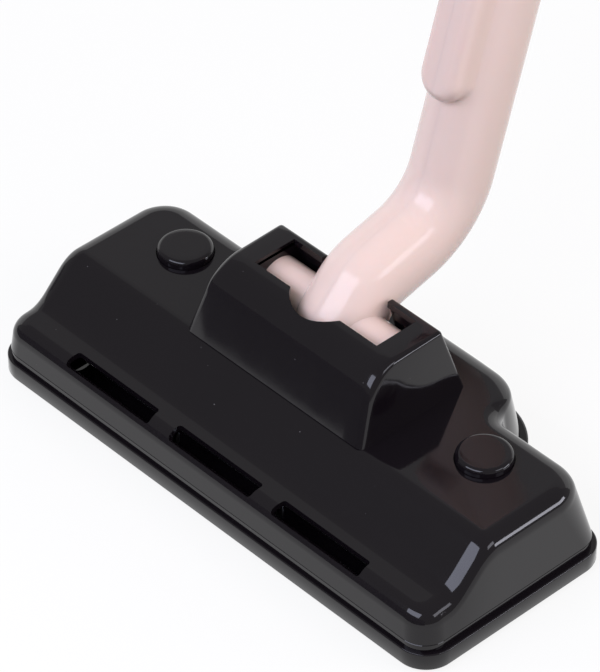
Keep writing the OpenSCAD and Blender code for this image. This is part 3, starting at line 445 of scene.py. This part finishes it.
def housing_profile():
    """The hood's outline from its front foot to its rear foot, as points with the inward normal of each.

    It is a leaning front, the round nose, a flat top, a small rear edge and a leaning back.
    """
    a = np.radians(np.linspace(NOSE_ANGLE, 90, 40))
    front = np.linspace([FRONT_FOOT_Y, PLATEAU_Z], NOSE_START, 10)[:-1]
    nose = NOSE + NOSE_R * np.column_stack([np.cos(a), np.sin(a)])
    lean = np.arctan2(BACK_FOOT_Y - REAR_EDGE_Y, TOP_Z - PLATEAU_Z)
    corner = [REAR_EDGE_Y - REAR_EDGE_R * np.tan((np.pi / 2 - lean) / 2), TOP_Z - REAR_EDGE_R]
    b = np.linspace(np.pi / 2, lean, 7)
    edge = corner + REAR_EDGE_R * np.column_stack([np.cos(b), np.sin(b)])
    top = np.linspace(nose[-1], edge[0], 14)[1:-1]
    back = np.linspace(edge[-1], [BACK_FOOT_Y, PLATEAU_Z], 22)[1:]
    line = np.vstack([front, nose, top, edge, back])
    along = np.gradient(line, axis=0)
    along /= np.linalg.norm(along, axis=1)[:, None]
    return line, np.column_stack([along[:, 1], -along[:, 0]])


def half_width(z):
    """Half the hood's length at height z, which shrinks evenly from foot to top."""
    return FOOT_HALF - (z - PLATEAU_Z) / (TOP_Z - PLATEAU_Z) * (FOOT_HALF - TOP_HALF)


line, inward = housing_profile()
run = np.append(0, np.cumsum(np.linalg.norm(np.diff(line, axis=0), axis=1)))
ahead = line[:, 0] < POCKET_REAR + 1


def run_at(y):
    """Length along the profile at depth y, ahead of the rear edge."""
    return np.interp(y, line[ahead, 0], run[ahead])


SIDE_MARK = 34.0
marks = np.array([0, 2, 4, 6, 8, 9.6, 10.8, NOTCH_HALF, 13.6, GATE_R, 18, 21, 25, POCKET_HALF, 31, SIDE_MARK])
marks = np.concatenate([-marks[:0:-1], marks])
notch_y = np.where(abs(marks) < NOTCH_HALF, NOTCH_Y - np.sqrt(np.maximum(NOTCH_R ** 2 - marks ** 2, 0)), POCKET_FRONT)
rear_run = run_at(POCKET_REAR)
front_shares = np.linspace(0, 1, 46)
back_runs = np.append(rear_run, run[run > rear_run + 0.2])
runs = np.vstack([front_shares[:, None] * run_at(notch_y), back_runs[:, None] + 0 * marks])
yz, normal = (np.stack([np.interp(runs, run, v[:, k]) for k in (0, 1)], -1) for v in (line, inward))
side_r = np.interp(runs[:, -1], [0, run_at(0), run_at(POCKET_FRONT), rear_run, run[-1]], END_R)
wide = half_width(yz[..., 1]) - side_r[:, None]
x = np.repeat(marks[None], len(runs), 0)
past_pocket = (abs(x) - POCKET_HALF) / (SIDE_MARK - POCKET_HALF)
x = np.where(abs(x) > POCKET_HALF, np.sign(x) * (POCKET_HALF + past_pocket * (wide - POCKET_HALF)), x)
behind = yz[..., 0] > GATE_FROM_Y
gate = np.sqrt(np.maximum(GATE_R ** 2 - np.maximum(GATE_Z - yz[..., 1], 0) ** 2, 0))
past_gate = (abs(x) - GATE_R) / (POCKET_HALF - GATE_R)
beside = behind & (abs(x) > GATE_R) & (abs(x) < POCKET_HALF)
x = np.where(behind & (abs(x) <= GATE_R), x * gate / GATE_R,
             np.where(beside, np.sign(x) * (gate + past_gate * (POCKET_HALF - gate)), x))
sheet = np.concatenate([x[..., None], yz], -1)
ends = []
for t in np.linspace(0, np.pi / 2, 7)[1:]:
    moved = yz[:, -1] + normal[:, -1] * (side_r * (1 - np.cos(t)))[:, None]
    ends.append(np.column_stack([half_width(moved[:, 1]) - side_r * (1 - np.sin(t)), moved]))
right = np.stack(ends, 1)
sheet = np.concatenate([right[:, ::-1] * [-1, 1, 1], sheet, right], 1)
n_rows, n_cols = sheet.shape[:2]
index = np.arange(n_rows * n_cols).reshape(n_rows, n_cols)
beyond = np.full(len(ends), SIDE_MARK + 1)
column = np.concatenate([-beyond, marks, beyond])
mid_x = abs(0.5 * (column[1:] + column[:-1]))[None]
row = np.arange(n_rows - 1)[:, None]
pocket_row = len(front_shares) - 1
open_cells = (mid_x < POCKET_HALF) & (row == pocket_row) | (mid_x < GATE_R) & (row > pocket_row)
cells = np.stack([index[:-1, :-1], index[:-1, 1:], index[1:, 1:], index[1:, :-1]], -1)[~open_cells]
hood = mesh_piece("pivot_housing_hood", sheet.reshape(-1, 3), [cells, [index[::-1, -1]], [index[:, 0]]], black_abs, 50)
give_wall(hood, HOOD_WALL, HOOD_EDGE)
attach(hood, "head")
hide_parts("pivot_housing")

inner = line + inward * HOOD_WALL / 2
high = inner[inner[:, 1] > TILT_Z]
arch = np.radians(np.linspace(0, 180, 33))
rising_front, rising_back = inner[:20], inner[:-22:-1]
front_y, back_y = (np.interp(TILT_Z, part[:, 1], part[:, 0]) for part in (rising_front, rising_back))
web = np.vstack([high, [[back_y, TILT_Z]],
                 [TILT_Y, TILT_Z] + BEARING_R * np.column_stack([np.cos(arch), np.sin(arch)]), [[front_y, TILT_Z]]])
m = len(web)
for side, name in ((-1, "left_bearing_rib"), (1, "right_bearing_rib")):
    p = np.vstack([np.column_stack([np.full(m, side * w), web]) for w in (POCKET_HALF, RIB_END)])
    loop = np.arange(m)
    f = [bands(0, m, 2), [loop[::-1]], [loop + m]]
    if side > 0:
        f = [[np.array(q)[::-1] for q in block] for block in f]
    rib = mesh_piece(name, p, f, black_abs, 30)
    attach(rib, "head")
    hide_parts("pivot_housing")


# Foot buttons.
# Two moulded discs of black ABS that stand 3 mm out of the plateau, with a rim below that the cover holds in and a
# peg for the return spring.

DISC_R, DISC_TOP, DISC_EDGE, FLAT_R = 9.65, 40.0, 1.6, 6.0
RIM_R, RIM_FOOT, RIM_TOP, NECK_R = 11.85, 33.2, 34.6, 9.85
PEG_R, PEG_FOOT = 3.6, 24.2
AXIS_R = 0.02      # a turned piece ends this close to its axis


def turned(profile, n=72):
    """A profile of radius and height carried round the upright axis: one loop for each of its points."""
    t = np.arange(n) * 2 * np.pi / n
    r, z = np.asarray(profile, float).T
    return np.stack([r[:, None] * np.cos(t), r[:, None] * np.sin(t), z[:, None] + 0 * t], -1).reshape(-1, 3), n


bend = np.linspace(0, np.pi / 2, 8)
edge = [DISC_R - DISC_EDGE, DISC_TOP - DISC_EDGE] + DISC_EDGE * np.column_stack([np.cos(bend), np.sin(bend)])
disc = np.vstack([[[AXIS_R, PEG_FOOT], [PEG_R, PEG_FOOT], [PEG_R, RIM_FOOT], [RIM_R - 0.25, RIM_FOOT],
                   [RIM_R, RIM_FOOT + 0.2], [RIM_R, RIM_TOP], [NECK_R, RIM_TOP]],
                  edge, [[FLAT_R, DISC_TOP], [AXIS_R, DISC_TOP]]])
for side, name in ((-1, "left"), (1, "right")):
    p, n = turned(disc)
    button = mesh_piece(name + "_foot_button", p + [side * BUTTON_X, BUTTON_Y, 0], [bands(0, n, len(disc))],
                        black_abs, 30)
    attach(button, name + "_foot_button")
    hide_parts(name + "_button")


# Button springs.
# Two coils of plated spring wire, one under each foot button: they stand on a tower of the base, over a short peg,
# and push the button up. Both ends are wound close, so that the coil stands straight.

def plated(name):
    """Zinc-plated steel: a pale grey metal with a faint cloudy change in its gloss."""
    cloud_mm = 4
    material, tree = new_material(name)
    place = add(tree, "ShaderNodeTexCoord").outputs["Object"]
    cloud = add(tree, "ShaderNodeTexNoise", {"Vector": place, "Scale": 1000 / cloud_mm, "Detail": 4.0})
    gloss = add(tree, "ShaderNodeMapRange", {"Value": cloud.outputs["Fac"], "To Min": 0.22, "To Max": 0.42})
    metal = add(tree, "ShaderNodeBsdfPrincipled", {"Base Color": linear("#b9babb"), "Metallic": 1.0,
                                                   "Roughness": gloss.outputs["Result"]})
    add(tree, "ShaderNodeOutputMaterial", {"Surface": metal.outputs["BSDF"]})
    return material


# Zinc plate on steel: a bright grey metal with blurred, faintly cloudy reflections.
steel = plated("zinc_plated_steel")

SPRING_FOOT, SPRING_HEAD, SPRING_R, SPRING_TURNS = 14.8, RIM_FOOT, 4.5, 6
WIRE_R, WIRE_GAP = 0.4, 0.1


def coil(sides=10, steps=28):
    """A wire of round section along a helix: the first and last turn lie close, and the rise is even between."""
    t = np.linspace(0, 1, steps * SPRING_TURNS + 1)
    close, tall = 2 * WIRE_R + WIRE_GAP, SPRING_HEAD - SPRING_FOOT
    u = np.clip((t * SPRING_TURNS - 1) / (SPRING_TURNS - 2), 0, 1)
    rise = (1 - u) * (close / 2 + t * close) + u * (tall - close / 2 - (1 - t) * close)
    a = 2 * np.pi * SPRING_TURNS * t[:, None]
    b = 2 * np.pi * np.arange(sides) / sides
    d = SPRING_R + WIRE_R * np.cos(b)
    z = SPRING_FOOT + rise[:, None] + WIRE_R * np.sin(b)
    return np.stack([d * np.cos(a), d * np.sin(a), z], -1).reshape(-1, 3), sides, len(t)


for side, name in ((-1, "left"), (1, "right")):
    p, n, loops_of_wire = coil()
    end = np.arange(n)
    f = [bands(0, n, loops_of_wire)[:, ::-1], [end], [end[::-1] + n * (loops_of_wire - 1)]]
    spring = mesh_piece(name + "_return_spring", p + [side * BUTTON_X, BUTTON_Y, 0], f, steel)
    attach(spring, "head")
    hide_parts(name + "_button_spring")
    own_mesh(spring)


# Wand.
# Two hollow halves of pale pink ABS, screwed together along the middle: a ball that turns in the housing on two
# trunnions, a cranked lower length and a straight upper length with a long raised pad on its front.

# Pale pink ABS, moulded glossy: an even warm tone with hardly any dust, and soft-edged reflections.
pink_abs = moulded_plastic("pale_pink_abs", body="#f2d8ce", thin="#eed1c6", dust="#b9a49d", rough=0.13, wave_mm=40,
                           wave_depth=0.000006, dust_share=0.1, bleed=0.12)

TUBE_R, TUBE_WALL = 14.2, 2.4
NECK, LOWER, UPPER = np.radians([46.5, 14.2, 72.8])      # headings above the level
NECK_RUN, LOWER_RUN, UPPER_RUN = 16.0, 36.4, 101.17
KNEE_R, ELBOW_R = 16.0, 30.0
PAD_HALF, PAD_FRONT, PAD_EDGE, PAD_FROM, PAD_SHORT = 9.0, 20.4, 5.0, 28.0, 12.0
PAD_BLEND, PAD_NEAR, PAD_SINK = 0.8, 6.0, 0.02
SPLIT_HALF, SPLIT_DEPTH, SPLIT_FROM_R = 0.25, 0.03, 5.0
PIN_R, PIN_FROM, PIN_END = 9.0, 8.0, 36.0
NO_PAD = -99.0     # place given to sections below the upper length, which the pad doesn't reach


def toward(a):
    """Unit vectors in depth and height for the headings a: their cosines and sines."""
    return np.column_stack([np.cos(a), np.sin(a)])


def wand_stations():
    """Centre, heading, radius and distance along the upper length for every section from the ball to the top.

    The ball's sections shrink with a cosine towards its tip. Two arcs turn the heading at the knee and the elbow,
    each tangent to the lengths on both sides of it, and the upper length is straight.
    """
    tilt = np.array([TILT_Y, TILT_Z])
    knee = tilt + NECK_RUN * toward([NECK])[0]
    elbow = knee + LOWER_RUN * toward([LOWER])[0]
    d = np.radians(np.linspace(89, 0, 22))
    centre = [tilt - TUBE_R * np.sin(d)[:, None] * toward([NECK])]
    heading = [0 * d + NECK]
    radius = [np.maximum(TUBE_R * np.cos(d), 0.05)]
    for corner, h0, h1, r, n in ((knee, NECK, LOWER, KNEE_R, 14), (elbow, LOWER, UPPER, ELBOW_R, 36)):
        trim = r * np.tan(abs(h1 - h0) / 2)
        turn = np.sign(h1 - h0)
        start = corner - trim * toward([h0])[0]
        h = np.linspace(h0, h1, n)
        mid = start + turn * r * toward([h0 + np.pi / 2])[0]
        centre.append(mid - turn * r * toward(h + np.pi / 2))
        heading.append(h)
        radius.append(0 * h + TUBE_R)
    begin = centre[-1][-1]
    from_top = np.concatenate([np.linspace(21.6, 11, 44), np.linspace(10, 0.7, 8), [0.3, 0]])
    u = np.concatenate([np.linspace(0.6, 26, 24), np.linspace(26.4, 42, 64), np.linspace(43, UPPER_RUN - 22, 40),
                        UPPER_RUN - from_top])
    centre.append(begin + u[:, None] * toward([UPPER]))
    heading.append(0 * u + UPPER)
    lip_round = np.zeros(len(u))
    lip_round[-2:] = 0.25, 0.7
    radius.append(TUBE_R - lip_round)
    u_all = np.append(np.full(sum(len(c) for c in centre[:-1]), NO_PAD), u)
    return np.vstack(centre), np.concatenate(heading), np.concatenate(radius), u_all


def pad_reach(beta, u):
    """Distance from the wand's middle to the pad's skin along each direction beta at each place u.

    The pad is a block with round ends and a round edge on the wand's front; the reach is found by halving the
    interval between the middle, which is inside it, and a point well outside.
    """
    well_outside = 30.0
    ends = np.clip(u, PAD_FROM + PAD_HALF, UPPER_RUN - PAD_SHORT - PAD_HALF)
    low = np.zeros((len(u), len(beta)))
    high = low + well_outside
    for _ in range(26):
        r = 0.5 * (low + high)
        d = PAD_HALF - np.hypot(r * np.cos(beta), (u - ends)[:, None])
        e = PAD_EDGE - np.clip(d, 0, PAD_EDGE)
        skin = PAD_FRONT - PAD_EDGE + np.sqrt(PAD_EDGE ** 2 - e ** 2)
        within = (d > 0) & (r * np.sin(beta) < skin) & (np.sin(beta) > 0.05)
        low, high = np.where(within, r, low), np.where(within, high, r)
    return low


centre, heading, radius, u = wand_stations()
lap = np.degrees(np.arccos(SPLIT_HALF / TUBE_R))
beta = np.radians(np.concatenate([[-90, -lap], np.linspace(-86, 40, 36), np.linspace(42, 88, 56), [lap, 90]]))
reach = pad_reach(beta, u)
a = radius[:, None] + 0 * reach
soft_join = 0.5 * (a + reach + np.sqrt((a - reach) ** 2 + PAD_BLEND))
reach = np.where(reach > a - PAD_NEAR, np.maximum(soft_join - PAD_SINK, a), a)
reach[:, [0, -1]] -= SPLIT_DEPTH * (radius[:, None] > SPLIT_FROM_R)
hollow = np.maximum(radius - TUBE_WALL, AXIS_R)[:, None] + 0 * beta
section = np.hstack([reach, hollow])
angle = np.concatenate([beta, beta[::-1]])
across = section * np.cos(angle)
lift = section * np.sin(angle)
side_way = np.column_stack([-np.sin(heading), np.cos(heading)])
half = np.stack([across, centre[:, :1] + lift * side_way[:, :1], centre[:, 1:] + lift * side_way[:, 1:]], -1)
n_sections, n_round = half.shape[:2]
last = (n_sections - 1) * n_round + np.arange(n_round)
outside, inside = last[:len(beta)], last[:len(beta) - 1:-1]
lip = np.stack([outside[:-1], outside[1:], inside[1:], inside[:-1]], -1)
pin = np.array([[AXIS_R, PIN_FROM], [PIN_R, PIN_FROM], [PIN_R, PIN_END - 1.4], [PIN_R - 0.3, PIN_END - 0.4],
                [PIN_R - 0.8, PIN_END], [AXIS_R, PIN_END]])
for side, name in ((-1, "left"), (1, "right")):
    stub, n = turned(pin, 64)
    stub = np.column_stack([stub[:, 2], TILT_Y + stub[:, 0], TILT_Z + stub[:, 1]])
    p = np.vstack([half.reshape(-1, 3), stub]) * [side, 1, 1]
    f = np.vstack([bands(0, n_round, n_sections)[:, ::-1], lip[:, ::-1], bands(n_sections * n_round, n, len(pin))])
    f = f[:, ::-1] if side < 0 else f
    wand = mesh_piece("wand_" + name + "_shell", p, [f], pink_abs, 40)
    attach(wand, "wand")
    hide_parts("wand_" + name + "_half")


# Small pieces.
# Wheels, keepers and saddles are black mouldings and the socket sleeve is a pink one; axles and screws are plated
# steel. Their shapes are those of the frame, and only their materials are given here.

kept = {black_abs: ["left_trunnion_saddle", "right_trunnion_saddle", "front_left_wheel", "front_right_wheel",
                    "rear_left_wheel", "rear_right_wheel", "front_axle_keepers", "rear_axle_keepers"],
        pink_abs: ["wand_socket"],
        steel: ["front_axle", "rear_axle", "base_screws", "housing_screws", "wand_screws"]}
for finish, names in kept.items():
    for name in names:
        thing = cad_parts[name]
        thing.data.materials.clear()
        thing.data.materials.append(finish)


# Studio.
# A wide white floor, two white boards behind on the left that the level tops mirror, and a low grey card in front
# that the housing mirrors. One wide lamp in front and two narrow ones on the right make the highlights; three more
# lift the shade without a highlight of their own.

scene = bpy.context.scene
scene.view_settings.view_transform = "Standard"


def plane(name, corners, material):
    """One flat four-cornered sheet that belongs to the studio."""
    mesh = bpy.data.meshes.new(name)
    mesh.from_pydata(corners, [], [(0, 1, 2, 3)])
    mesh.materials.append(material)
    thing = bpy.data.objects.new(name, mesh)
    scene.collection.objects.link(thing)
    return thing


# White paper: matt, but mostly its own even white wherever it is looked at or mirrored, with soft faint shadows.
paper, tree = new_material("white_paper")
matt = add(tree, "ShaderNodeBsdfDiffuse", {"Color": linear("#f4f4f4")})
path = add(tree, "ShaderNodeLightPath")
seen = add(tree, "ShaderNodeMath", {0: path.outputs["Is Camera Ray"], 1: path.outputs["Is Glossy Ray"]},
           operation="MAXIMUM")
seen = add(tree, "ShaderNodeMath", {0: seen.outputs[0], 1: path.outputs["Is Transmission Ray"]},
           operation="MAXIMUM")
glow = add(tree, "ShaderNodeEmission", {"Color": linear("#ffffff"), "Strength": seen.outputs[0]})
faint = add(tree, "ShaderNodeMixShader", {"Fac": 0.86, 1: matt.outputs["BSDF"], 2: glow.outputs["Emission"]})
add(tree, "ShaderNodeOutputMaterial", {"Surface": faint.outputs["Shader"]})
FLOOR_HALF = 6
plane("floor", [(x * FLOOR_HALF, y * FLOOR_HALF, 0) for x, y in ((-1, -1), (1, -1), (1, 1), (-1, 1))], paper)

# White boards behind on the left: the lower one bright, the upper one dim, both mirrored by the level tops.
BOARD_LEFT, BOARD_RIGHT = (-2.3, -0.3), (0.6, 2.4)
for name, low, high, strength in (("lower_board", 0, 0.95, 1.2), ("upper_board", 0.95, 1.9, 0.5)):
    board, tree = new_material(name)
    lit = add(tree, "ShaderNodeEmission", {"Color": linear("#ffffff"), "Strength": strength})
    add(tree, "ShaderNodeOutputMaterial", {"Surface": lit.outputs["Emission"]})
    corners = [(*BOARD_LEFT, low), (*BOARD_RIGHT, low), (*BOARD_RIGHT, high), (*BOARD_LEFT, high)]
    plane(name, corners, board).visible_camera = False

# Grey card: matt, low in front, so that the foot of the housing's front mirrors less white.
CARD_LEFT, CARD_RIGHT, CARD_Y, CARD_TOP = -0.9, 0.3, -0.235, 0.125
card_paint, tree = new_material("grey_card")
grey = add(tree, "ShaderNodeBsdfDiffuse", {"Color": linear("#a0a0a3")})
add(tree, "ShaderNodeOutputMaterial", {"Surface": grey.outputs["BSDF"]})
card = plane("card", [(CARD_LEFT, CARD_Y, 0), (CARD_RIGHT, CARD_Y, 0), (CARD_RIGHT, CARD_Y, CARD_TOP),
                      (CARD_LEFT, CARD_Y, CARD_TOP)], card_paint)
card.visible_camera = False
card.visible_diffuse = False
card.visible_shadow = False

# Dim white sky, the same from all sides.
world = bpy.data.worlds.new("dim_sky")
scene.world = world
world.use_nodes = True
tree = world.node_tree
tree.nodes.clear()
sky = add(tree, "ShaderNodeBackground", {"Color": linear("#ffffff"), "Strength": 0.36})
add(tree, "ShaderNodeOutputWorld", {"Surface": sky.outputs["Background"]})

# Lamps: soft boxes, all at one distance from the object's middle on the floor.
LAMP_DISTANCE = 1.2
FILL_SIZE = 0.6


def placed(axes, spot):
    """The matrix that turns a thing's own axes to the columns of axes and moves it to the spot."""
    matrix = np.eye(4)
    matrix[:3, :3], matrix[:3, 3] = axes, spot
    return Matrix(matrix.tolist())


def soft_lamp(name, toward_lamp, width, height, watts, tint):
    """A soft box that faces the object from the given direction."""
    lamp = bpy.data.lights.new(name, "AREA")
    lamp.shape = "RECTANGLE"
    lamp.size = width
    lamp.size_y = height
    lamp.energy = watts
    lamp.color = linear(tint)[:3]
    thing = bpy.data.objects.new(name, lamp)
    scene.collection.objects.link(thing)
    away = np.array(toward_lamp) / np.linalg.norm(toward_lamp)
    across = np.cross([0, 0, 1], away)
    across /= np.linalg.norm(across)
    thing.matrix_world = placed(np.column_stack([across, np.cross(away, across), away]), away * LAMP_DISTANCE)
    return thing


soft_lamp("front_lamp", (0.03, -0.695, 0.719), 1.08, 0.5, 8.6, "#e4e8ff")
soft_lamp("right_lamp", (0.82, 0.17, 0.55), 0.5, 0.26, 1.6, "#f2f2ff")
soft_lamp("end_lamp", (0.773, 0.562, 0.292), 0.55, 0.2, 3.4, "#f2f2ff")
for name, way, watts, tint in (("front_fill", (0.35, -0.85, 0.38), 1.7, "#eef2ff"),
                               ("left_fill", (-0.75, -0.35, 0.56), 2.2, "#f6f2ff"),
                               ("rear_fill", (0.66, 0.33, 0.68), 2.8, "#ffeedd")):
    soft_lamp(name, way, FILL_SIZE, FILL_SIZE, watts, tint).visible_glossy = False

# Camera: a long lens, from above at the right front.
lens = bpy.data.cameras.new("photo_camera")
lens.lens = 257.49
lens.sensor_width = 36
camera = bpy.data.objects.new("photo_camera", lens)
scene.collection.objects.link(camera)
axes = np.column_stack([[0.6816, 0.7317, -0.0041], [-0.4719, 0.4439, 0.7617], [0.5592, -0.5173, 0.6479]])
camera.matrix_world = placed(axes, [0.87558, -0.84386, 1.06877])
scene.camera = camera
